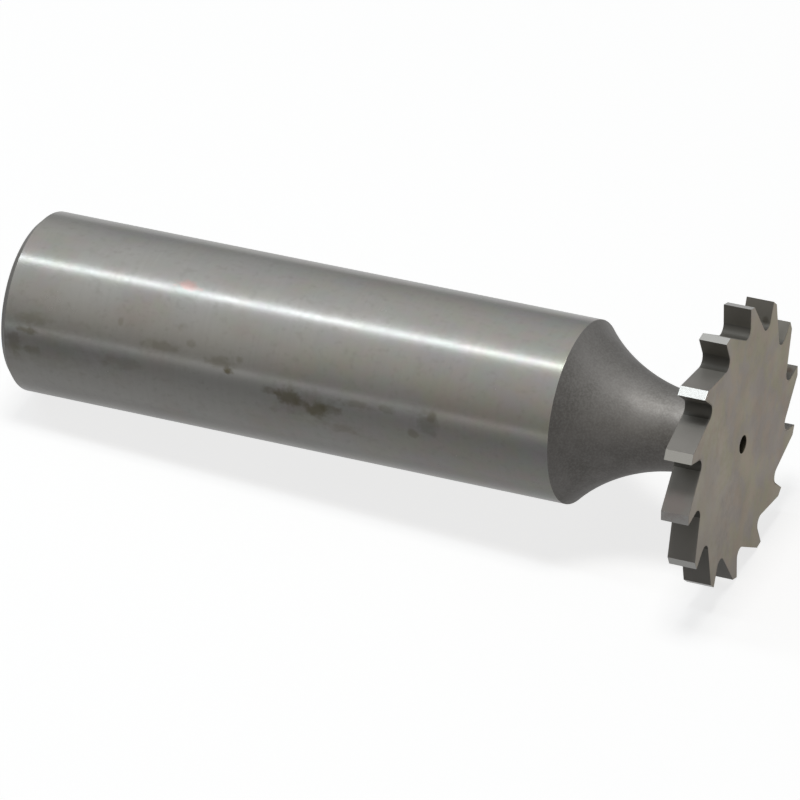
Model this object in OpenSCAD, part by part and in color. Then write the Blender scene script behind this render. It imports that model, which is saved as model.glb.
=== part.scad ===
// Woodruff keyseat cutter: plain shank, hollow-swept neck and a thin toothed disc, ground from one bar.
// It is drawn upright along its own axis and then laid down as it comes to rest on a level surface:
// on the edge of the shank's end and on two neighbouring teeth, with the head toward +X.
// The origin is on that surface, under the middle of the tool.

/* [Shank] */
// Diameter of the shank, 1/2 in
shank_d = 12.7; // [10:0.1:16]
// Length of the shank, from its end to the shoulder
shank_l = 41.2; // [30:0.1:60]
// Bevel around the end of the shank
end_bevel = 0.5; // [0.2:0.1:1]

/* [Neck] */
// Diameter of the neck behind the disc
neck_d = 5.3; // [4:0.1:7]
// Radius of the hollow sweep from the shoulder down to the neck
sweep_r = 11.6; // [9:0.1:15]
// Straight length of neck between the sweep and the disc
neck_straight = 1.1; // [0.8:0.1:4]
// Fillet where the neck meets the disc
neck_fillet = 0.4; // [0.2:0.1:0.6]

/* [Disc] */
// Diameter over the tooth tips, 3/4 in and its grinding allowance
disc_d = 19.5; // [18:0.1:24]
// Width of the disc, which is the width of the keyseat, 5/64 in
disc_w = 1.98; // [1.5:0.01:4]
// How far each side face falls away toward the middle, for side clearance
side_hollow = 0.08; // [0.02:0.01:0.2]

/* [Teeth] */
// Number of teeth
teeth = 14; // [10:1:16]
// Depth of the teeth, from the tips to the bottom of the gullets
tooth_depth = 2; // [1.4:0.1:2.4]
// Hook of the cutting faces, in degrees from the radius
rake = 5; // [0:1:10]
// Width of the land behind each cutting edge
land_w = 0.7; // [0.4:0.05:1]
// Fall of the land behind its edge, in degrees
relief = 8; // [3:1:12]
// Radius at the bottom of each gullet
gullet_r = 0.6; // [0.3:0.05:0.7]

/* [Centre holes] */
// Diameter of the hole in the front face
nose_hole_d = 1.25; // [0.8:0.05:2]
// Depth of the hole in the front face, without its drill point
nose_hole_l = 2.4; // [1:0.1:4]
// Mouth of the centre in the shank's end
tail_mouth_d = 3.3; // [2.5:0.1:5]
// Pilot hole of the centre in the shank's end
tail_pilot_d = 1.6; // [1:0.1:2]
// Depth of the pilot hole below the centre's cone
tail_pilot_l = 1.4; // [0.5:0.1:3]

/* [Hidden] */
$fn = 128;
// How far a cut runs past the surface that it cuts
over = 1;
// How much deeper a gullet's round bottom is cut than its flanks, so that they meet at a clear line
bottom_step = 0.005;
// Included angles of the centre's cone and of a drill's point
centre_angle = 60;
point_angle = 118;

shank_r = shank_d / 2;
neck_r = neck_d / 2;
disc_r = disc_d / 2;
root_r = disc_r - tooth_depth;
pitch = 360 / teeth;

// Heights along the tool's axis, from the shank's end
sweep_l = sqrt(pow(sweep_r, 2) - pow(sweep_r - (shank_r - neck_r), 2));
sweep_end = shank_l + sweep_l;
disc_back = sweep_end + neck_straight;
disc_front = disc_back + disc_w;

function turn(p, a) = [p.x * cos(a) - p.y * sin(a), p.x * sin(a) + p.y * cos(a)];
function away(a) = [cos(a), sin(a)];
function unit(v) = v / norm(v);

// One gullet, with the tip of the tooth behind it on +X. The disc cuts toward +Y there.
tip = [disc_r, 0];
heel = tip + land_w * away(-90 - relief);
next_tip = turn(tip, pitch);
next_heel = turn(heel, pitch);
// The gullet's round bottom reaches the root circle, and runs into the cutting face.
flank_r = gullet_r - bottom_step;
bottom_reach = pow(disc_r * cos(rake), 2) + pow(root_r + gullet_r, 2)
    - pow(disc_r, 2) - pow(flank_r, 2) + 2 * disc_r * flank_r * sin(rake);
rake_l = disc_r * cos(rake) - sqrt(bottom_reach);
rake_foot = tip - rake_l * away(rake);
bottom = rake_foot + flank_r * away(rake + 90);
// The back of the next tooth is a straight line from its heel into the round bottom.
to_heel = next_heel - bottom;
back_foot = bottom + flank_r * away(atan2(to_heel.y, to_heel.x) + acos(flank_r / norm(to_heel)));

// At rest the disc bridges two neighbouring teeth: the tip of one, and the heel or the tip of the
// next, whichever stands proud of the other.
function bridge_turn(p) = atan2(tip.x - p.x, p.y - tip.y);
bridge_end = bridge_turn(next_heel) < bridge_turn(next_tip) ? next_heel : next_tip;
bridge_angle = bridge_turn(bridge_end);
bridge_h = disc_r * cos(bridge_angle);
rest_tilt = atan2(bridge_h - shank_r, disc_back - end_bevel);

// Reach of the tool as it lies, which centres it over the origin
tail_x = -(shank_r - end_bevel) * sin(rest_tilt);
nose_x = disc_front * cos(rest_tilt) + bridge_h * sin(rest_tilt);
rest_z = shank_r * cos(rest_tilt) - end_bevel * sin(rest_tilt);
side_y = [for (i = [0:teeth - 1], p = [tip, heel]) turn(p, i * pitch - bridge_angle).y];
mid_x = (tail_x + nose_x) / 2;
mid_y = (max(side_y) + min(side_y)) / 2;

// Height of the disc's back face at radius r
function back_face(r) = disc_back + side_hollow * (1 - r / disc_r);

// Half section of the shank and neck, up to the middle of the disc
module bar_section() {
    fillet_x = neck_r + neck_fillet;
    fillet_z = back_face(fillet_x) - neck_fillet;
    disc_mid = disc_back + disc_w / 2;
    difference() {
        polygon([
            [0, 0],
            [shank_r - end_bevel, 0],
            [shank_r, end_bevel],
            [shank_r, sweep_end],
            [0, sweep_end]
        ]);
        translate([neck_r + sweep_r, sweep_end]) circle(r = sweep_r);
    }
    translate([0, sweep_end - over]) square([neck_r, disc_mid - sweep_end + over]);
    difference() {
        translate([0, fillet_z]) square([fillet_x, disc_mid - fillet_z]);
        translate([fillet_x, fillet_z]) circle(r = neck_fillet);
    }
}

// Half section of the disc before its teeth are cut, with both side faces hollow-ground
module disc_section() {
    blank_r = disc_r + over / 2;
    back_rim = back_face(blank_r);
    front_rim = disc_back + disc_front - back_rim;
    polygon([
        [0, back_face(0)],
        [blank_r, back_rim],
        [blank_r, front_rim],
        [0, disc_front - side_hollow]
    ]);
}

// Everything that grinding takes away between two cutting edges: the gullet and the land's relief
module gullet_cut() {
    far = disc_r + 2 * over;
    translate([0, 0, disc_back - over])
        linear_extrude(disc_w + 2 * over) {
            polygon([
                tip + over * away(rake),
                rake_foot,
                back_foot,
                next_heel,
                next_tip + over * unit(next_tip - next_heel),
                far * away(pitch + 8),
                far * away(pitch / 2),
                far * away(5)
            ]);
            translate(bottom) circle(r = gullet_r);
        }
}

// Plain drilled hole in the front face, with its drill point
module nose_hole() {
    hole_r = nose_hole_d / 2;
    point_l = hole_r / tan(point_angle / 2);
    floor_z = disc_front - nose_hole_l;
    translate([0, 0, floor_z]) cylinder(h = nose_hole_l + over, r = hole_r);
    translate([0, 0, floor_z - point_l]) cylinder(h = point_l, r1 = 0, r2 = hole_r);
}

// Centre in the shank's end, in which the bar turned while it was ground
module tail_centre() {
    mouth_r = tail_mouth_d / 2;
    pilot_r = tail_pilot_d / 2;
    cone_l = (mouth_r - pilot_r) / tan(centre_angle / 2);
    pilot_end = cone_l + tail_pilot_l;
    point_l = pilot_r / tan(point_angle / 2);
    translate([0, 0, -over]) cylinder(h = over, r = mouth_r);
    cylinder(h = cone_l, r1 = mouth_r, r2 = pilot_r);
    cylinder(h = pilot_end, r = pilot_r);
    translate([0, 0, pilot_end]) cylinder(h = point_l, r1 = pilot_r, r2 = 0);
}

// The whole tool, standing on its shank's end
module upright_cutter() {
    difference() {
        union() {
            rotate_extrude() bar_section();
            difference() {
                rotate_extrude() disc_section();
                for (i = [0:teeth - 1]) rotate(i * pitch) gullet_cut();
            }
        }
        nose_hole();
        tail_centre();
    }
}

// Laid down: a bridge between two teeth turns to face the ground, and the axis tips over to +X
module keyseat_cutter() {
    color([0.56, 0.55, 0.53])
        translate([-mid_x, -mid_y, rest_z])
            rotate([0, 90 - rest_tilt, 0])
                rotate(-bridge_angle)
                    upright_cutter();
}

keyseat_cutter();
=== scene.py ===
import math

import bmesh
import bpy
from mathutils import Matrix, Vector


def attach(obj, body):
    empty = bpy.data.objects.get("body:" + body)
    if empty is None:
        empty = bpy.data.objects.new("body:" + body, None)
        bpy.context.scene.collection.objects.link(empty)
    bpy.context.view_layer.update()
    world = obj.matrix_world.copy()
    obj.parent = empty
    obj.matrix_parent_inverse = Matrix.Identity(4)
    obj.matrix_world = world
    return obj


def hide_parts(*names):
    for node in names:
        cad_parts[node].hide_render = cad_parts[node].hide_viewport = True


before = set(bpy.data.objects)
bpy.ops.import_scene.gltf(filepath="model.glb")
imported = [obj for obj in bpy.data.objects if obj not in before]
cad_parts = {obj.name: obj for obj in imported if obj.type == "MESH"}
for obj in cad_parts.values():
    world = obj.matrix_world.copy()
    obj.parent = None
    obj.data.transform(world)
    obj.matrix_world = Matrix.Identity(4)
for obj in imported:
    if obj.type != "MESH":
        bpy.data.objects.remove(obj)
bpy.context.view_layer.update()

# The tool's sizes in millimetres and degrees, as in the CAD source
MM = 0.001
SHANK_R, SHANK_L, END_BEVEL = 12.7 / 2, 41.2, 0.5
NECK_R, SWEEP_R, NECK_STRAIGHT, NECK_FILLET = 5.3 / 2, 11.6, 1.1, 0.4
DISC_R, DISC_W, SIDE_HOLLOW = 19.5 / 2, 1.98, 0.08
TEETH, TOOTH_DEPTH, RAKE, LAND, RELIEF, GULLET_R = 14, 2, 5, 0.7, 8, 0.6
NOSE_HOLE_R, NOSE_HOLE_L = 1.25 / 2, 2.4
TAIL_MOUTH_R, TAIL_PILOT_R, TAIL_PILOT_L = 3.3 / 2, 1.6 / 2, 1.4
CENTRE_ANGLE, POINT_ANGLE = 60, 118

# The root circle and the teeth's pitch, then heights along the axis from the shank's end
ROOT_R = DISC_R - TOOTH_DEPTH
PITCH = 360 / TEETH
SWEEP_L = math.sqrt(SWEEP_R ** 2 - (SWEEP_R - SHANK_R + NECK_R) ** 2)
SWEEP_END = SHANK_L + SWEEP_L
DISC_BACK = SWEEP_END + NECK_STRAIGHT
DISC_FRONT = DISC_BACK + DISC_W

# Small worn rounds along the edges, and the narrow bands beside them that keep the faces flat
EDGE_ROUND = 0.03
EDGE_BAND = 0.05
ROUND_STEPS = 4
SWEEP_STEPS = 40
FILLET_STEPS = 8
# Points along one tooth: down its cutting face, round the gullet, up the next back, over the land
RAKE_STEPS, BOTTOM_STEPS, BACK_STEPS, LAND_STEPS = 4, 14, 5, 3
TOOTH_STEPS = RAKE_STEPS + BOTTOM_STEPS + BACK_STEPS + LAND_STEPS
AROUND = TEETH * TOOTH_STEPS
# The plain rings start at this angle from the first tooth's tip, so that no line of the mesh folds
RING_LEAD = -4
# The disc's side faces are plain rings up to this radius. Three more rings lie between it and the
# teeth's outline, at these shares of the way.
FACE_INNER_R = 5.8
FACE_SHARES = (0.35, 0.7, 1)


def away(angle):
    """The direction at an angle in degrees."""
    return Vector((math.cos(math.radians(angle)), math.sin(math.radians(angle))))


def turned_by(point, angle):
    """A point of the disc's outline, turned about the tool's axis by degrees."""
    return Matrix.Rotation(math.radians(angle), 2) @ point


# The tooth whose tip is at angle 0 cuts toward greater angles. Its gullet lies ahead of it.
TIP = DISC_R * away(0)
HEEL = TIP + LAND * away(-90 - RELIEF)
NEXT_TIP, NEXT_HEEL = turned_by(TIP, PITCH), turned_by(HEEL, PITCH)


def gullet():
    """The centre of the gullet's round bottom, where the bottom meets the cutting face, and the
    angle at which it meets the next tooth's back. The bottom touches the root circle."""
    hook = math.radians(RAKE)
    reach = (DISC_R * math.cos(hook)) ** 2 + (ROOT_R + GULLET_R) ** 2
    reach += 2 * DISC_R * GULLET_R * math.sin(hook) - DISC_R ** 2 - GULLET_R ** 2
    rake_l = DISC_R * math.cos(hook) - math.sqrt(reach)
    rake_foot = TIP - rake_l * away(RAKE)
    centre = rake_foot + GULLET_R * away(RAKE + 90)
    to_heel = NEXT_HEEL - centre
    slope = math.degrees(math.atan2(to_heel.y, to_heel.x))
    back_angle = slope + math.degrees(math.acos(GULLET_R / to_heel.length))
    return centre, rake_foot, back_angle


def tooth_outline():
    """The disc's outline from one tip to just before the next."""
    centre, rake_foot, back_angle = gullet()
    back_foot = centre + GULLET_R * away(back_angle)
    start, end = RAKE - 90, back_angle - 360
    bottom = [start + (end - start) * i / BOTTOM_STEPS for i in range(BOTTOM_STEPS)]
    points = [TIP.lerp(rake_foot, i / RAKE_STEPS) for i in range(RAKE_STEPS)]
    points += [centre + GULLET_R * away(angle) for angle in bottom]
    points += [back_foot.lerp(NEXT_HEEL, i / BACK_STEPS) for i in range(BACK_STEPS)]
    points += [NEXT_HEEL.lerp(NEXT_TIP, i / LAND_STEPS) for i in range(LAND_STEPS)]
    return points


def rest_turn():
    """How far the disc turns so that a tip and the next heel or tip bridge the ground."""
    return min(math.degrees(math.atan2(TIP.x - p.x, p.y - TIP.y)) for p in (NEXT_HEEL, NEXT_TIP))


# The disc's turn at rest, the height of the axis over the points it stands on, and the tool's tilt
BRIDGE = rest_turn()
BRIDGE_H = DISC_R * math.cos(math.radians(BRIDGE))
TILT = math.atan2(BRIDGE_H - SHANK_R, DISC_BACK - END_BEVEL)


def resting_place():
    """The tool's own frame, its axis along +Z and the ground toward +X, laid down as it rests."""
    tail_x = -(SHANK_R - END_BEVEL) * math.sin(TILT)
    nose_x = DISC_FRONT * math.cos(TILT) + BRIDGE_H * math.sin(TILT)
    rest_z = SHANK_R * math.cos(TILT) - END_BEVEL * math.sin(TILT)
    place = Matrix.Translation(Vector((-(tail_x + nose_x) / 2, 0, rest_z)) * MM)
    return place @ Matrix.Rotation(math.pi / 2 - TILT, 4, "Y")


def rounded(corners):
    """Points (radius, height, finish) of a half section, from corners (radius, height, round,
    finish). A finish is that of the surface from its point on."""
    points = [(corners[0][0], corners[0][1], corners[0][3])]
    for before, corner, after in zip(corners, corners[1:], corners[2:]):
        radius, height, size, finish = corner
        if not size:
            points.append((radius, height, finish))
            continue
        at = Vector((radius, height))
        u = (Vector(before[:2]) - at).normalized()
        v = (Vector(after[:2]) - at).normalized()
        half = u.angle(v) / 2
        reach = size / math.tan(half)
        centre = at + (u + v).normalized() * size / math.sin(half)
        start, end = at + u * reach - centre, at + v * reach - centre
        arc = [centre + size * start.slerp(end, i / ROUND_STEPS) for i in range(ROUND_STEPS + 1)]
        path = [at + u * (reach + EDGE_BAND), *arc, at + v * (reach + EDGE_BAND)]
        finishes = [before[3]] * (len(path) // 2) + [finish] * (len(path) - len(path) // 2)
        points += [(p.x, p.y, f) for p, f in zip(path, finishes)]
    radius, height, _, finish = corners[-1]
    return points + [(radius, height, finish)]


def tail_corners():
    """The half section from the centre drilled in the shank's end to the neck's fillet."""
    cone_l = (TAIL_MOUTH_R - TAIL_PILOT_R) / math.tan(math.radians(CENTRE_ANGLE / 2))
    pilot_end = cone_l + TAIL_PILOT_L
    corners = [
        (0, pilot_end + TAIL_PILOT_R / math.tan(math.radians(POINT_ANGLE / 2)), 0, "hole"),
        (TAIL_PILOT_R, pilot_end, EDGE_ROUND, "hole"),
        (TAIL_PILOT_R, cone_l, EDGE_ROUND, "hole"),
        (TAIL_MOUTH_R, 0, EDGE_ROUND, "end"),
        (SHANK_R - END_BEVEL, 0, EDGE_ROUND, "end"),
        (SHANK_R, END_BEVEL, EDGE_ROUND, "shank"),
        (SHANK_R, SHANK_L, EDGE_ROUND, "neck"),
    ]
    start = math.degrees(math.asin(SWEEP_L / SWEEP_R))
    for i in range(1, SWEEP_STEPS + 1):
        angle = math.radians(start * (1 - i / SWEEP_STEPS))
        radius = NECK_R + SWEEP_R * (1 - math.cos(angle))
        corners.append((radius, SWEEP_END - SWEEP_R * math.sin(angle), 0, "neck"))
    middle = NECK_R + NECK_FILLET
    foot = face_height(middle, "back") - NECK_FILLET
    for i in range(FILLET_STEPS + 1):
        angle = math.pi / 2 * i / FILLET_STEPS
        radius = middle - NECK_FILLET * math.cos(angle)
        height = foot + NECK_FILLET * math.sin(angle)
        corners.append((radius, height, 0, "neck" if i < FILLET_STEPS else "face"))
    corners.append((FACE_INNER_R, face_height(FACE_INNER_R, "back"), 0, "face"))
    return corners


def nose_corners():
    """The half section from the disc's front face into the hole in it."""
    floor = DISC_FRONT - NOSE_HOLE_L
    return [
        (FACE_INNER_R, face_height(FACE_INNER_R, "front"), 0, "face"),
        (NOSE_HOLE_R, face_height(NOSE_HOLE_R, "front"), EDGE_ROUND, "hole"),
        (NOSE_HOLE_R, floor, EDGE_ROUND, "hole"),
        (0, floor - NOSE_HOLE_R / math.tan(math.radians(POINT_ANGLE / 2)), 0, "hole"),
    ]


def face_height(radius, side):
    """Height of the disc's hollow side faces at a radius."""
    hollow = SIDE_HOLLOW * (1 - radius / DISC_R)
    return DISC_BACK + hollow if side == "back" else DISC_FRONT - hollow


def ring(radius, height):
    """A plain ring of points."""
    return [
        (*(radius * away(RING_LEAD - BRIDGE + 360 * k / AROUND)), height)
        for k in range(AROUND)
    ]


class Outline:
    """The toothed outline, which can be drawn inward by a small distance."""

    def __init__(self):
        teeth = [turned_by(p, i * PITCH - BRIDGE) for i in range(TEETH) for p in tooth_outline()]
        self.points = teeth
        # The way inward at each point, so long that both sides beside it move by one unit
        self.inward = []
        for k, at in enumerate(teeth):
            u = (at - teeth[k - 1]).normalized()
            v = (teeth[(k + 1) % AROUND] - at).normalized()
            across = (u + v).normalized().orthogonal()
            self.inward.append(across / math.sqrt((1 + u.dot(v)) / 2))

    def drawn_in(self, distance):
        """The outline's points, moved inward."""
        return [p + n * distance for p, n in zip(self.points, self.inward)]


def side_rings(outline, side):
    """The rings of one side face over the teeth, then of the worn edge around it."""
    inner = [Vector(p[:2]) for p in ring(FACE_INNER_R, 0)]
    edge = outline.drawn_in(EDGE_ROUND + EDGE_BAND)
    levels = [([a.lerp(b, share) for a, b in zip(inner, edge)], 0) for share in FACE_SHARES]
    for i in range(ROUND_STEPS + 1):
        angle = math.pi / 2 * i / ROUND_STEPS
        points = outline.drawn_in(EDGE_ROUND * (1 - math.sin(angle)))
        levels.append((points, EDGE_ROUND * (1 - math.cos(angle))))
    levels.append((outline.points, EDGE_ROUND + EDGE_BAND))
    toward = 1 if side == "back" else -1
    return [
        [(*p, face_height(p.length, side) + toward * sink) for p in points]
        for points, sink in levels
    ]


def tooth_finishes():
    """The finish of the rim's surface after each point of the outline."""
    tooth = ["rake"] * RAKE_STEPS + ["gullet"] * BOTTOM_STEPS
    tooth += ["tooth_back"] * BACK_STEPS + ["land"] * LAND_STEPS
    return tooth * TEETH


FINISHES = ["shank", "neck", "face", "rake", "gullet", "tooth_back", "land", "end", "hole"]


def plain_rings(section):
    """The rings of a half section, each with one finish. On the axis, a ring is a single point."""
    return [
        (ring(radius, height) if radius else [(0, 0, height)], [finish] * AROUND)
        for radius, height, finish in section
    ]


def toothed_rings():
    """The rings over the teeth, from the back face over the rim to the front face, with their
    finishes, which change halfway round each worn edge."""
    outline = Outline()
    rings = side_rings(outline, "back") + side_rings(outline, "front")[::-1]
    rim = tooth_finishes()
    before_rim = len(FACE_SHARES) + ROUND_STEPS // 2
    return [
        (points, rim if before_rim <= i < len(rings) - 1 - before_rim else ["face"] * AROUND)
        for i, points in enumerate(rings)
    ]


def join(mesh, below, here, finishes):
    """Faces between two rings, either of which can be a single point."""
    for k in range(AROUND):
        after = (k + 1) % AROUND
        corners = [below[k % len(below)], below[after % len(below)]]
        corners += [here[after % len(here)], here[k % len(here)]]
        face = mesh.faces.new(list(dict.fromkeys(corners)))
        face.material_index = FINISHES.index(finishes[k])
        face.smooth = True


def build_mesh():
    """The whole tool as one closed skin of rings, from the tail's centre to the front's hole. The
    lines at the tips and heels of the teeth are sharp."""
    mesh = bmesh.new()
    rings = plain_rings(rounded(tail_corners()))
    first = len(rings) + len(FACE_SHARES)
    rings += toothed_rings()
    last = len(rings) - len(FACE_SHARES)
    rings += plain_rings(rounded(nose_corners()))
    tip_and_heel = {0, RAKE_STEPS + BOTTOM_STEPS + BACK_STEPS}
    sharp = [k for k in range(AROUND) if k % TOOTH_STEPS in tip_and_heel]
    for level, (points, _) in enumerate(rings):
        here = [mesh.verts.new(Vector(p) * MM) for p in points]
        if level:
            join(mesh, below, here, rings[level - 1][1])
        if first <= level <= last:
            for k in sharp:
                mesh.edges.get((below[k], here[k])).smooth = False
        below = here
    bmesh.ops.recalc_face_normals(mesh, faces=mesh.faces)
    data = bpy.data.meshes.new("ground_cutter")
    mesh.transform(resting_place())
    mesh.to_mesh(data)
    mesh.free()
    return data


# Materials. Their coordinates are millimetres in the tool's own frame, with the axis along Z.


def put(tree, kind, links=(), **settings):
    """A node with its settings, and a value or another node's output for each named input."""
    node = tree.nodes.new(kind)
    for name, value in settings.items():
        setattr(node, name, value)
    for name, value in dict(links).items():
        if isinstance(value, bpy.types.NodeSocket):
            tree.links.new(value, node.inputs[name])
        else:
            node.inputs[name].default_value = value
    return node


def noise(tree, place, stretch, detail=3, roughness=0.55):
    """A noise from 0 to 1, with the given number of grains to a millimetre along each axis."""
    scaled = put(tree, "ShaderNodeVectorMath", {0: place, 1: stretch}, operation="MULTIPLY")
    made = put(tree, "ShaderNodeTexNoise", {
        "Vector": scaled.outputs[0], "Scale": 1, "Detail": detail, "Roughness": roughness})
    return made.outputs["Fac"]


def ramp(tree, value, low, high, start=0.0, end=1.0, smooth=True):
    """A value mapped so that low gives start and high gives end."""
    kind = "SMOOTHSTEP" if smooth else "LINEAR"
    made = put(tree, "ShaderNodeMapRange", {
        "Value": value, "From Min": low, "From Max": high, "To Min": start, "To Max": end},
        interpolation_type=kind)
    return made.outputs["Result"]


def mix(tree, share, one, other, blend="MIX"):
    """Two colours mixed."""
    made = put(tree, "ShaderNodeMix", data_type="RGBA", blend_type=blend)
    for name, value in ((0, share), (6, one), (7, other)):
        if isinstance(value, bpy.types.NodeSocket):
            tree.links.new(value, made.inputs[name])
        else:
            made.inputs[name].default_value = value if name == 0 else (*value, 1)
    return made.outputs[2]


def maths(tree, operation, *values):
    """A sum, a product or another operation on values."""
    made = put(tree, "ShaderNodeMath", dict(enumerate(values)), operation=operation)
    return made.outputs[0]


def millimetres(tree):
    """The place on the tool, in millimetres in its own frame."""
    laid = resting_place()
    place = put(tree, "ShaderNodeTexCoord").outputs["Object"]
    return put(tree, "ShaderNodeMapping", {
        "Vector": place, "Location": laid.to_translation(), "Rotation": laid.to_euler(),
        "Scale": (MM, MM, MM)}, vector_type="TEXTURE").outputs[0]


def axis_direction(tree):
    """The direction of the tool's axis, in the world."""
    along = resting_place().to_3x3() @ Vector((0, 0, 1))
    return put(tree, "ShaderNodeVectorTransform", {0: along}, vector_type="VECTOR",
               convert_from="OBJECT", convert_to="WORLD").outputs[0]


def length(tree, vector):
    """The length of a vector."""
    made = put(tree, "ShaderNodeVectorMath", {0: vector}, operation="LENGTH")
    return made.outputs["Value"]


def radius_of(tree, place):
    """Distance from the tool's axis."""
    flat = put(tree, "ShaderNodeVectorMath", {0: place, 1: (1, 1, 0)}, operation="MULTIPLY")
    return length(tree, flat.outputs[0])


def height_of(tree, place):
    """Distance along the tool's axis from the shank's end."""
    return put(tree, "ShaderNodeSeparateXYZ", {0: place}).outputs["Z"]


def steel(name, colour, roughness, bumps, anisotropic=0, metallic=1, shine=0.5, edge=(1, 1, 1)):
    """A metal whose colour and roughness come from functions of the place, and whose fine relief
    is the sum of bumps, each a function of the place and a height in micrometres. A surface that
    was ground while it turned is anisotropic, and spreads its highlights along the axis. One that
    keeps some of the dull skin from hardening is less metallic. The edge tints what the surface
    shows at a low angle."""
    made = bpy.data.materials.new(name)
    made.use_nodes = True
    tree = made.node_tree
    tree.nodes.clear()
    place = millimetres(tree)
    shader = put(tree, "ShaderNodeBsdfPrincipled", {
        "Base Color": colour(tree, place), "Roughness": roughness(tree, place),
        "Metallic": metallic, "Specular IOR Level": shine, "Specular Tint": (*edge, 1)})
    if anisotropic:
        shader.inputs["Anisotropic"].default_value = anisotropic
        tree.links.new(axis_direction(tree), shader.inputs["Tangent"])
    normal = None
    for relief, micrometres in bumps:
        bump = put(tree, "ShaderNodeBump", {
            "Strength": 1, "Distance": micrometres * MM / 1000, "Height": relief(tree, place)})
        if normal:
            tree.links.new(normal, bump.inputs["Normal"])
        normal = bump.outputs[0]
    if normal:
        tree.links.new(normal, shader.inputs["Normal"])
    out = put(tree, "ShaderNodeOutputMaterial")
    tree.links.new(shader.outputs[0], out.inputs["Surface"])
    return made


# Dirt and rust on the shank: how far along it, the angle around from straight down toward +Y,
# the reach along and around in millimetres, and how strongly it shows
SPOTS = [
    (2.4, 245.3, 1.4, 0.5, 0.28),
    (2.2, 253.8, 0.9, 0.25, 0.5),
    (1.3, 262.5, 0.7, 0.9, 0.32),
    (2.7, 266.5, 0.7, 0.4, 0.3),
    (3.6, 264.0, 4.2, 1.6, 0.13),
    (9.6, 262.5, 1.6, 0.5, 0.18),
    (9.2, 236.6, 0.25, 0.35, 0.25),
    (12.6, 246.2, 1.5, 0.45, 0.3),
    (13.7, 231.4, 0.25, 0.3, 0.25),
    (14.6, 241.0, 0.35, 0.35, 0.25),
    (16.9, 248.8, 1.2, 0.5, 0.35),
    (17.5, 253.1, 0.4, 0.3, 0.85),
    (18.3, 244.7, 0.3, 0.3, 0.3),
    (20.9, 260.2, 0.8, 0.3, 0.3),
    (22.2, 262.0, 1.1, 0.65, 0.62),
    (23.2, 263.6, 0.7, 0.3, 0.4),
    (24.1, 266.6, 0.85, 0.6, 0.66),
    (23.5, 265.1, 2.8, 1.3, 0.2),
    (25.4, 264.2, 0.8, 0.35, 0.4),
    (27.3, 257.7, 1.2, 0.3, 0.3),
    (29.3, 256.7, 0.6, 0.3, 0.25),
    (26.1, 277.1, 1.0, 0.45, 0.25),
    (31.3, 269.1, 0.4, 0.35, 0.35),
    (32.5, 261.6, 0.8, 1.0, 0.3),
    (32.7, 255.7, 0.35, 0.35, 0.35),
]
STAIN = (0.115, 0.1, 0.06)
# A pink mark, given in the same way
PINK_MARK = (13.3, 204.7, 0.9, 0.4, 0.4)
PINK = (0.45, 0.22, 0.2)

# A painted shadow, a rusty stain and a bloom of colour on the flanks of the teeth: the place in the
# tool's own frame, the reach in millimetres, how strongly it shows, and its colour
TOOTH_STAINS_AND_SHADE = [
    # The first is a painted shadow in the bottom of a gullet
    ((-6.54, 5.2, 52.4), 0.3, 0.6, (0.06, 0.05, 0.033)),
    ((-0.1, 9.15, 52.35), 0.32, 0.55, (0.12, 0.072, 0.04)),
    ((-0.9, -9.15, 51.5), 1.2, 0.5, (0.3, 0.245, 0.23)),
]

# A mark fades from its full strength to nothing between these shares of its reach
MARK_FULL, MARK_GONE = 0.35, 1.25


def mark(tree, place, ragged, centre, shape, strength):
    """A soft ragged mark around a place, whose shape is one over its reach in each direction."""
    way = put(tree, "ShaderNodeVectorMath", {0: place, 1: centre}, operation="SUBTRACT")
    scaled = put(tree, "ShaderNodeVectorMath", {0: way.outputs[0], 1: shape}, operation="MULTIPLY")
    far = maths(tree, "ADD", length(tree, scaled.outputs[0]), ragged)
    return ramp(tree, far, MARK_GONE, MARK_FULL, 0, strength)


def ragged_edge(tree, place):
    """How much the edge of a mark wanders in and out, as a share of the mark's reach."""
    return ramp(tree, noise(tree, place, (1.7, 1.7, 1.4), 6, 0.6), 0.25, 0.75, -0.6, 0.6, False)


def spot(tree, place, ragged, along, angle, reach, width, strength):
    """A mark on the shank, given as in SPOTS."""
    centre = (*(SHANK_R * away(angle)), along)
    return mark(tree, place, ragged, centre, (1 / width, 1 / width, 1 / reach), strength)


# Colours of the shank's ground steel: two of its patina, patches of painted light, lines and
# speckles
SHANK_COOL, SHANK_WARM = (0.264, 0.264, 0.258), (0.276, 0.262, 0.234)
SHANK_PAINTED_LIGHT = (0.303, 0.298, 0.284)
SHANK_LINE, SHANK_SPECKLE = (0.225, 0.22, 0.208), (0.2, 0.192, 0.172)
# Tints of the patina that make it greener or pinker
GREENER, PINKER = (0.975, 1.022, 0.975), (1.03, 0.972, 1.015)
# Painted light, in patches that show fully within this distance of the shank's end and less toward
# the neck
PAINTED_LIGHT_L = 12


def patina(tree, place, cool, warm):
    """Steel that has tarnished a little in patches: cooler and warmer, pinker and greener."""
    warmth = ramp(tree, noise(tree, place, (0.4, 0.4, 0.32), 4, 0.6), 0.36, 0.64)
    blush = ramp(tree, noise(tree, place, (0.65, 0.65, 0.52), 4, 0.6), 0.36, 0.64)
    tint = mix(tree, blush, GREENER, PINKER)
    return mix(tree, 1, mix(tree, warmth, cool, warm), tint, "MULTIPLY")


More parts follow.
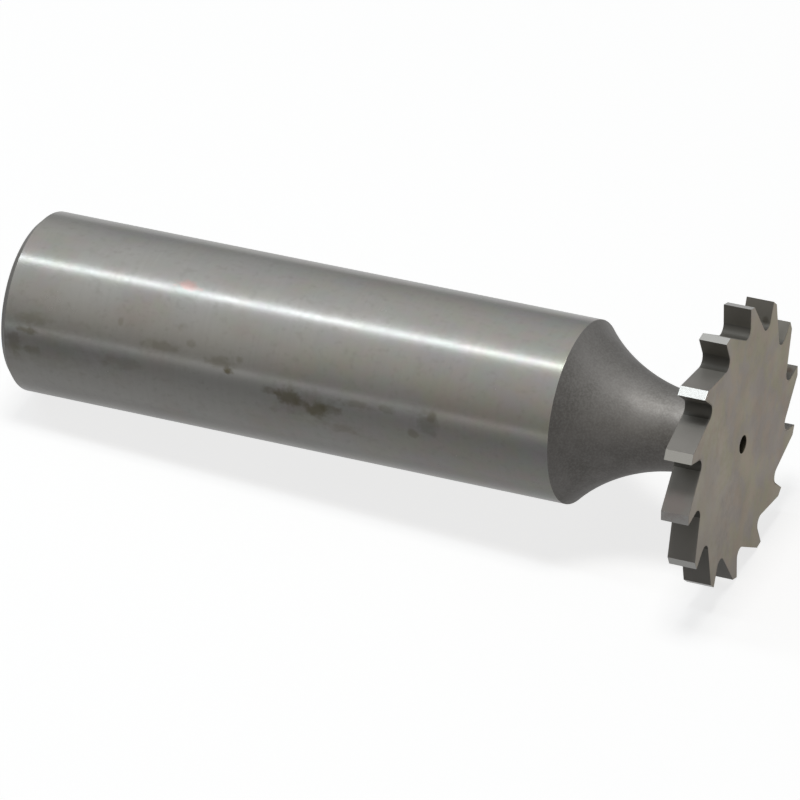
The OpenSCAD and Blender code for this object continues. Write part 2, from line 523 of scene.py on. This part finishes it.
def shank_colour(tree, place):
    """Patina with patches of painted light toward the end, fine lines around, speckles, stains and
    a pink mark.
    """
    fine = noise(tree, place, (0.12, 0.12, 4), 2)
    cloudy = noise(tree, place, (0.22, 0.22, 0.12), 3)
    speckled = noise(tree, place, (2.2, 2.2, 1.8), 4, 0.6)
    colour = patina(tree, place, SHANK_COOL, SHANK_WARM)
    # Painted light: lighter clouds, strongest toward the shank's end
    lightened = ramp(tree, height_of(tree, place), SHANK_L, PAINTED_LIGHT_L, 0.12, 1)
    lightened = maths(tree, "MULTIPLY", ramp(tree, cloudy, 0.25, 0.65), lightened)
    colour = mix(tree, lightened, colour, SHANK_PAINTED_LIGHT)
    colour = mix(tree, ramp(tree, fine, 0.3, 0.75, 0, 0.12), colour, SHANK_LINE)
    colour = mix(tree, ramp(tree, speckled, 0.5, 0.75, 0, 0.3), colour, SHANK_SPECKLE)
    ragged = ragged_edge(tree, place)
    for values in SPOTS:
        colour = mix(tree, spot(tree, place, ragged, *values), colour, STAIN)
    return mix(tree, spot(tree, place, ragged, *PINK_MARK), colour, PINK)


def shank_roughness(tree, place):
    """A fine finish that is duller in clouds and in small patches."""
    cloudy = ramp(tree, noise(tree, place, (0.3, 0.3, 0.2), 3), 0.3, 0.7, 0.215, 0.25)
    fine = ramp(tree, noise(tree, place, (1.6, 1.6, 1.6), 3), 0.3, 0.7, 0, 0.025)
    return maths(tree, "ADD", cloudy, fine)


def grinding_lines(tree, place):
    """Lines that the wheel leaves around the shank."""
    return noise(tree, place, (0.1, 0.1, 9), 3, 0.6)


# Colours of the neck's blasted steel, and of its brightest grains
NECK_DARK, NECK_LIGHT = (0.144, 0.137, 0.129), (0.186, 0.178, 0.17)
NECK_GRAIN = (0.246, 0.238, 0.229)


def neck_colour(tree, place):
    """A dull grey in clouds, with a fine sparkle of lighter grains."""
    grain = noise(tree, place, (7, 7, 7), 4, 0.6)
    cloudy = noise(tree, place, (0.35, 0.35, 0.35), 3)
    colour = mix(tree, ramp(tree, cloudy, 0.3, 0.7), NECK_DARK, NECK_LIGHT)
    return mix(tree, ramp(tree, grain, 0.35, 0.7, 0, 0.5), colour, NECK_GRAIN)


def neck_roughness(tree, place):
    """A matt finish that is a little uneven."""
    return ramp(tree, noise(tree, place, (1.2, 1.2, 1.2), 3), 0.3, 0.7, 0.48, 0.56)


def blasted_grain(tree, place):
    """The fine pits of a blasted surface."""
    return noise(tree, place, (9, 9, 9), 5, 0.65)


# Colours of the disc's side faces: two broad blooms, browner patches, paler clouds, speckles, one
# lighter patch and the rim
FACE_VIOLET, FACE_OLIVE = (0.224, 0.198, 0.196), (0.234, 0.215, 0.163)
FACE_BROWN, FACE_PALE = (0.249, 0.198, 0.173), (0.385, 0.347, 0.296)
FACE_SPECKLE = (0.17, 0.156, 0.142)
FACE_LIGHTER, FACE_RIM = (0.296, 0.269, 0.245), (0.262, 0.238, 0.211)
# The lighter patch, and one over its reach in each direction
LIGHTER_PATCH, PATCH_SHAPE = (1.5, -7, DISC_FRONT), (0.14, 0.2, 0.2)
# The faces are a little warmer where they are seen at a low angle
FACE_EDGE = (1, 0.975, 0.88)


def face_colour(tree, place):
    """Ground steel with broad blooms of violet grey, olive and brown."""
    radius = radius_of(tree, place)
    bloom = ramp(tree, noise(tree, place, (0.26, 0.36, 0.2), 4, 0.6), 0.41, 0.57)
    browned = ramp(tree, noise(tree, place, (0.5, 0.6, 0.4), 4, 0.6), 0.45, 0.62, 0, 0.75)
    cloudy = noise(tree, place, (0.24, 0.34, 0.2), 4, 0.6)
    speckled = noise(tree, place, (2.5, 2.5, 0.5), 4, 0.6)
    colour = mix(tree, bloom, FACE_VIOLET, FACE_OLIVE)
    colour = mix(tree, browned, colour, FACE_BROWN)
    colour = mix(tree, ramp(tree, cloudy, 0.35, 0.68, 0, 0.12), colour, FACE_PALE)
    colour = mix(tree, ramp(tree, speckled, 0.5, 0.75, 0, 0.3), colour, FACE_SPECKLE)
    lightened = mark(tree, place, ragged_edge(tree, place), LIGHTER_PATCH, PATCH_SHAPE, 0.5)
    colour = mix(tree, lightened, colour, FACE_LIGHTER)
    return mix(tree, ramp(tree, radius, 8, 9.6, 0, 0.35), colour, FACE_RIM)


def face_roughness(tree, place):
    """A ground finish that is a little uneven."""
    return ramp(tree, noise(tree, place, (0.4, 0.4, 0.3), 3), 0.3, 0.7, 0.3, 0.38)


# Rings to a millimetre on the flat faces, and radians of the spiral to one on turned surfaces
RINGS, SPIRAL = 6, 21


def uneven_rings(tree, across):
    """Rings of uneven width and depth, about one to each unit across."""
    made = put(tree, "ShaderNodeTexNoise", {
        "W": across, "Scale": 1, "Detail": 4, "Roughness": 0.7}, noise_dimensions="1D")
    return made.outputs["Fac"]


def wheel_lines(tree, place):
    """Rings that the wheel leaves on a side face, which wander a little."""
    across = maths(tree, "MULTIPLY", radius_of(tree, place), RINGS)
    wander = maths(tree, "MULTIPLY", noise(tree, place, (0.25, 0.25, 0.1), 2), 3)
    return uneven_rings(tree, maths(tree, "ADD", across, wander))


def turning_lines(tree, place):
    """The fine spiral that a tool leaves on a turned surface, of uneven depth."""
    wander = noise(tree, place, (0.5, 0.5, 0.5), 2)
    across = maths(tree, "ADD", maths(tree, "MULTIPLY", radius_of(tree, place), SPIRAL), wander)
    depth = ramp(tree, noise(tree, place, (0.7, 0.7, 0.7), 3), 0.3, 0.7, 0.2, 0.6)
    return maths(tree, "MULTIPLY", maths(tree, "SINE", across), depth)


# Colours of the rings on the shank's end face, and of the bevel around it
END_DARK, END_LIGHT, BEVEL = (0.15, 0.143, 0.13), (0.225, 0.217, 0.202), (0.14, 0.134, 0.124)


def end_colour(tree, place):
    """The shank's end face in rings of light and dark, and the darker bevel around it."""
    radius = radius_of(tree, place)
    ringed = ramp(tree, uneven_rings(tree, maths(tree, "MULTIPLY", radius, RINGS)), 0.35, 0.65)
    on_bevel = ramp(tree, radius, SHANK_R - END_BEVEL - 0.1, SHANK_R - END_BEVEL + 0.05)
    return mix(tree, on_bevel, mix(tree, ringed, END_DARK, END_LIGHT), BEVEL)


def tooth_colour(root, rim, low=ROOT_R, high=DISC_R):
    """A colour that goes in clouds from the root's to the rim's between two radii, with marks."""

    def colour(tree, place):
        radius = radius_of(tree, place)
        cloudy = noise(tree, place, (0.8, 0.8, 0.8), 3)
        uneven = maths(tree, "ADD", radius, ramp(tree, cloudy, 0.2, 0.8, -0.35, 0.35, False))
        made = mix(tree, ramp(tree, uneven, low, high), root, rim)
        ragged = ragged_edge(tree, place)
        # One of these marks is a painted shadow in the bottom of a gullet
        for centre, reach, strength, mark_colour in TOOTH_STAINS_AND_SHADE:
            seen = mark(tree, place, ragged, centre, (1 / reach,) * 3, strength)
            made = mix(tree, seen, made, mark_colour)
        return made

    return colour


def even(value, spread=0.04):
    """A roughness about one value."""

    def roughness(tree, place):
        clouds = noise(tree, place, (1, 1, 1), 3)
        return ramp(tree, clouds, 0.3, 0.7, value - spread, value + spread)

    return roughness


def flank_lines(tree, place):
    """Marks that run along the teeth, across the disc."""
    return noise(tree, place, (9, 9, 0.4), 4, 0.65)


# The flanks of the teeth keep a dull skin from hardening, which is little like metal
SKIN = dict(metallic=0.15, shine=0.3)


def make_finishes():
    """One material for each finish."""
    # The cutting faces and gullets are darker than the backs, and all three darken toward the root:
    # partly a darker skin in the hollows, partly painted shade
    rake = tooth_colour((0.182, 0.171, 0.148), (0.218, 0.204, 0.18))
    bottom = tooth_colour((0.125, 0.12, 0.107), (0.185, 0.177, 0.16), 7.7, 9.2)
    tooth_back = tooth_colour((0.256, 0.246, 0.226), (0.306, 0.289, 0.268), 7.7, 9.4)
    land = tooth_colour((0.38, 0.375, 0.36), (0.43, 0.425, 0.41), 9, 9.8)
    hole = tooth_colour((0.092, 0.082, 0.057), (0.15, 0.144, 0.134), 0.4, 1.6)
    return {
        "shank": steel("ground_shank", shank_colour, shank_roughness, [(grinding_lines, 0.05)],
                       anisotropic=0.5),
        "neck": steel("blasted_neck", neck_colour, neck_roughness, [(blasted_grain, 6)]),
        "face": steel("ground_face", face_colour, face_roughness, [(wheel_lines, 0.5)],
                      edge=FACE_EDGE),
        "rake": steel("cutting_face", rake, even(0.5), [(flank_lines, 0.8)], **SKIN),
        "gullet": steel("gullet", bottom, even(0.5), [(flank_lines, 1)], **SKIN),
        "tooth_back": steel("tooth_back", tooth_back, even(0.45), [(flank_lines, 0.8)], **SKIN),
        "land": steel("land", land, even(0.24, 0.01), [(flank_lines, 0.03)]),
        "end": steel("turned_end", end_colour, even(0.4), [(turning_lines, 7)]),
        "hole": steel("drilled_hole", hole, even(0.5), [(turning_lines, 2)]),
    }


def make_cutter():
    """The dressed tool, which stands for the plain CAD solid."""
    cutter = bpy.data.objects.new("ground_cutter", build_mesh())
    bpy.context.scene.collection.objects.link(cutter)
    materials = make_finishes()
    for finish in FINISHES:
        cutter.data.materials.append(materials[finish])
    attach(cutter, "root")
    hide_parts("keyseat_cutter")


# The camera looks down at the tool from beyond its head
CAMERA_PLACE = Vector((161.84, -357.67, 285.97)) * MM
CAMERA_AZIMUTH, CAMERA_ELEVATION, CAMERA_ROLL = 24.2101, 35.5365, 0.129
LENS_MM, SENSOR_MM = 317.613, 36


def make_camera():
    """The camera, which looks down until it is raised, turned and rolled a little."""
    camera = bpy.data.objects.new("camera", bpy.data.cameras.new("camera"))
    bpy.context.scene.collection.objects.link(camera)
    angles = CAMERA_AZIMUTH, CAMERA_ELEVATION, CAMERA_ROLL
    azimuth, elevation, roll = (math.radians(angle) for angle in angles)
    camera.data.sensor_width = SENSOR_MM
    camera.data.lens = LENS_MM
    camera.data.clip_start, camera.data.clip_end = 0.01, 20
    turned = Matrix.Rotation(azimuth, 4, "Z") @ Matrix.Rotation(math.pi / 2 - elevation, 4, "X")
    camera.matrix_world = Matrix.Translation(CAMERA_PLACE) @ turned @ Matrix.Rotation(roll, 4, "Z")
    bpy.context.scene.camera = camera


# The floor's size, and its colour and glow to the camera. Together these are white, and the colour
# takes the tool's shadow.
FLOOR_SIZE = 6
FLOOR_SEEN, GLOW_SEEN = 0.5, 0.76
# As metal shows it, the floor is a pale grey. Its glow is this strong in front of the tool and
# behind it, and changes between these distances.
FLOOR_MIRRORED = 0.26
GLOW_FRONT, GLOW_BACK = 0.255, 0.6
GLOW_FROM, GLOW_TO = -0.026, 0.015
# More glow toward the head, and in two strips further off in front
HEAD_GLOW, HEAD_FROM, HEAD_TO = 0.035, -0.035, 0.015
STRIP_GLOW, STRIP_FROM, STRIP_TO = 0.24, -0.028, -0.085
FAR_GLOW, FAR_FROM, FAR_TO = 0.3, -0.07, -0.16


def mirrored_glow(tree):
    """The floor's glow as metal shows it."""
    place = put(tree, "ShaderNodeNewGeometry").outputs["Position"]
    apart = put(tree, "ShaderNodeSeparateXYZ", {0: place}).outputs
    glow = ramp(tree, apart["Y"], GLOW_FROM, GLOW_TO, GLOW_FRONT, GLOW_BACK)
    for way, start, end, more in (
            ("X", HEAD_FROM, HEAD_TO, HEAD_GLOW), ("Y", STRIP_FROM, STRIP_TO, STRIP_GLOW),
            ("Y", FAR_FROM, FAR_TO, FAR_GLOW)):
        glow = maths(tree, "ADD", glow, ramp(tree, apart[way], start, end, 0, more))
    return glow


def floor_material():
    """White to the camera but for the shadow, and a pale grey as metal shows it."""
    made = bpy.data.materials.new("floor")
    made.use_nodes = True
    tree = made.node_tree
    tree.nodes.clear()
    path = put(tree, "ShaderNodeLightPath")
    seen, mirrored = path.outputs["Is Camera Ray"], path.outputs["Is Glossy Ray"]
    shade = put(tree, "ShaderNodeMix", {0: seen, 2: FLOOR_MIRRORED, 3: FLOOR_SEEN}).outputs[0]
    colour = put(tree, "ShaderNodeCombineColor", {0: shade, 1: shade, 2: shade}).outputs[0]
    diffuse = put(tree, "ShaderNodeBsdfDiffuse", {"Color": colour}).outputs[0]
    glow = maths(tree, "ADD", maths(tree, "MULTIPLY", seen, GLOW_SEEN),
                 maths(tree, "MULTIPLY", mirrored, mirrored_glow(tree)))
    light = put(tree, "ShaderNodeEmission", {"Strength": glow}).outputs[0]
    both = put(tree, "ShaderNodeAddShader", {0: diffuse, 1: light}).outputs[0]
    out = put(tree, "ShaderNodeOutputMaterial")
    tree.links.new(both, out.inputs["Surface"])
    return made


def make_floor():
    """The plain floor that the tool lies on."""
    data = bpy.data.meshes.new("floor")
    half = FLOOR_SIZE / 2
    corners = [(-half, -half, 0), (half, -half, 0), (half, half, 0), (-half, half, 0)]
    data.from_pydata(corners, [], [(0, 1, 2, 3)])
    floor = bpy.data.objects.new("floor", data)
    bpy.context.scene.collection.objects.link(floor)
    data.materials.append(floor_material())


# The lamps, which face down: a long narrow one beside the tool, and a square one above its head
LONG_LAMP = dict(place=(-0.33, -0.0495, 0.6), size=(0.8, 0.052), turned=2.3, radiance=5.8,
                 colour=(0.86, 0.945, 1))
HEAD_LAMP = dict(place=(-0.01, -0.03, 0.6), size=(0.16, 0.16), turned=0, radiance=11,
                 colour=(1, 0.98, 0.95))
# The surround is white to the camera. As metal shows it, it goes from dim at the horizon to bright
# overhead, is a little brighter behind the tool, and is warmer in front. Its light on dull surfaces
# is even.
WORLD_LOW, WORLD_HIGH, WORLD_CURVE = 0.445, 1.2, 1.12
WORLD_BEHIND = 0.3
WORLD_FRONT, WORLD_BACK = (1, 0.98, 0.925), (0.985, 1, 1)
WORLD_DIFFUSE = 0.11


def make_lamp(name, place, size, turned, radiance, colour):
    """A lamp whose sides are along X and Y, turned by degrees, with the same glow at every size."""
    data = bpy.data.lights.new(name, "AREA")
    data.shape = "RECTANGLE"
    data.size, data.size_y = size
    data.color = colour
    data.energy = radiance * math.pi * size[0] * size[1]
    lamp = bpy.data.objects.new(name, data)
    bpy.context.scene.collection.objects.link(lamp)
    lamp.location = place
    lamp.rotation_euler = (0, 0, math.radians(turned))


def make_world():
    """The pale surround."""
    world = bpy.data.worlds.new("studio")
    bpy.context.scene.world = world
    world.use_nodes = True
    tree = world.node_tree
    tree.nodes.clear()
    way = put(tree, "ShaderNodeTexCoord").outputs["Generated"]
    apart = put(tree, "ShaderNodeSeparateXYZ", {0: way}).outputs
    height = maths(tree, "POWER", maths(tree, "MAXIMUM", apart["Z"], 0), WORLD_CURVE)
    behind = maths(tree, "MULTIPLY", maths(tree, "MAXIMUM", apart["Y"], 0), WORLD_BEHIND)
    behind = maths(tree, "MULTIPLY", behind, apart["Z"])
    shade = maths(tree, "ADD", ramp(tree, height, 0, 1, WORLD_LOW, WORLD_HIGH, False), behind)
    path = put(tree, "ShaderNodeLightPath")
    glossy, through = path.outputs["Is Glossy Ray"], path.outputs["Is Transmission Ray"]
    mirrored = maths(tree, "MAXIMUM", glossy, through)
    lit = put(tree, "ShaderNodeMix", {0: mirrored, 2: WORLD_DIFFUSE, 3: shade}).outputs[0]
    colour = mix(tree, ramp(tree, apart["Y"], -1, -0.2), WORLD_FRONT, WORLD_BACK)
    around = put(tree, "ShaderNodeBackground", {"Color": colour, "Strength": lit}).outputs[0]
    white = put(tree, "ShaderNodeBackground", {"Color": (1, 1, 1, 1), "Strength": 1}).outputs[0]
    seen = put(tree, "ShaderNodeMixShader", {0: path.outputs["Is Camera Ray"], 1: around, 2: white})
    out = put(tree, "ShaderNodeOutputWorld")
    tree.links.new(seen.outputs[0], out.inputs["Surface"])


make_camera()
make_cutter()
make_floor()
make_lamp("long_lamp", **LONG_LAMP)
make_lamp("head_lamp", **HEAD_LAMP)
make_world()
bpy.context.scene.view_settings.view_transform = "Standard"
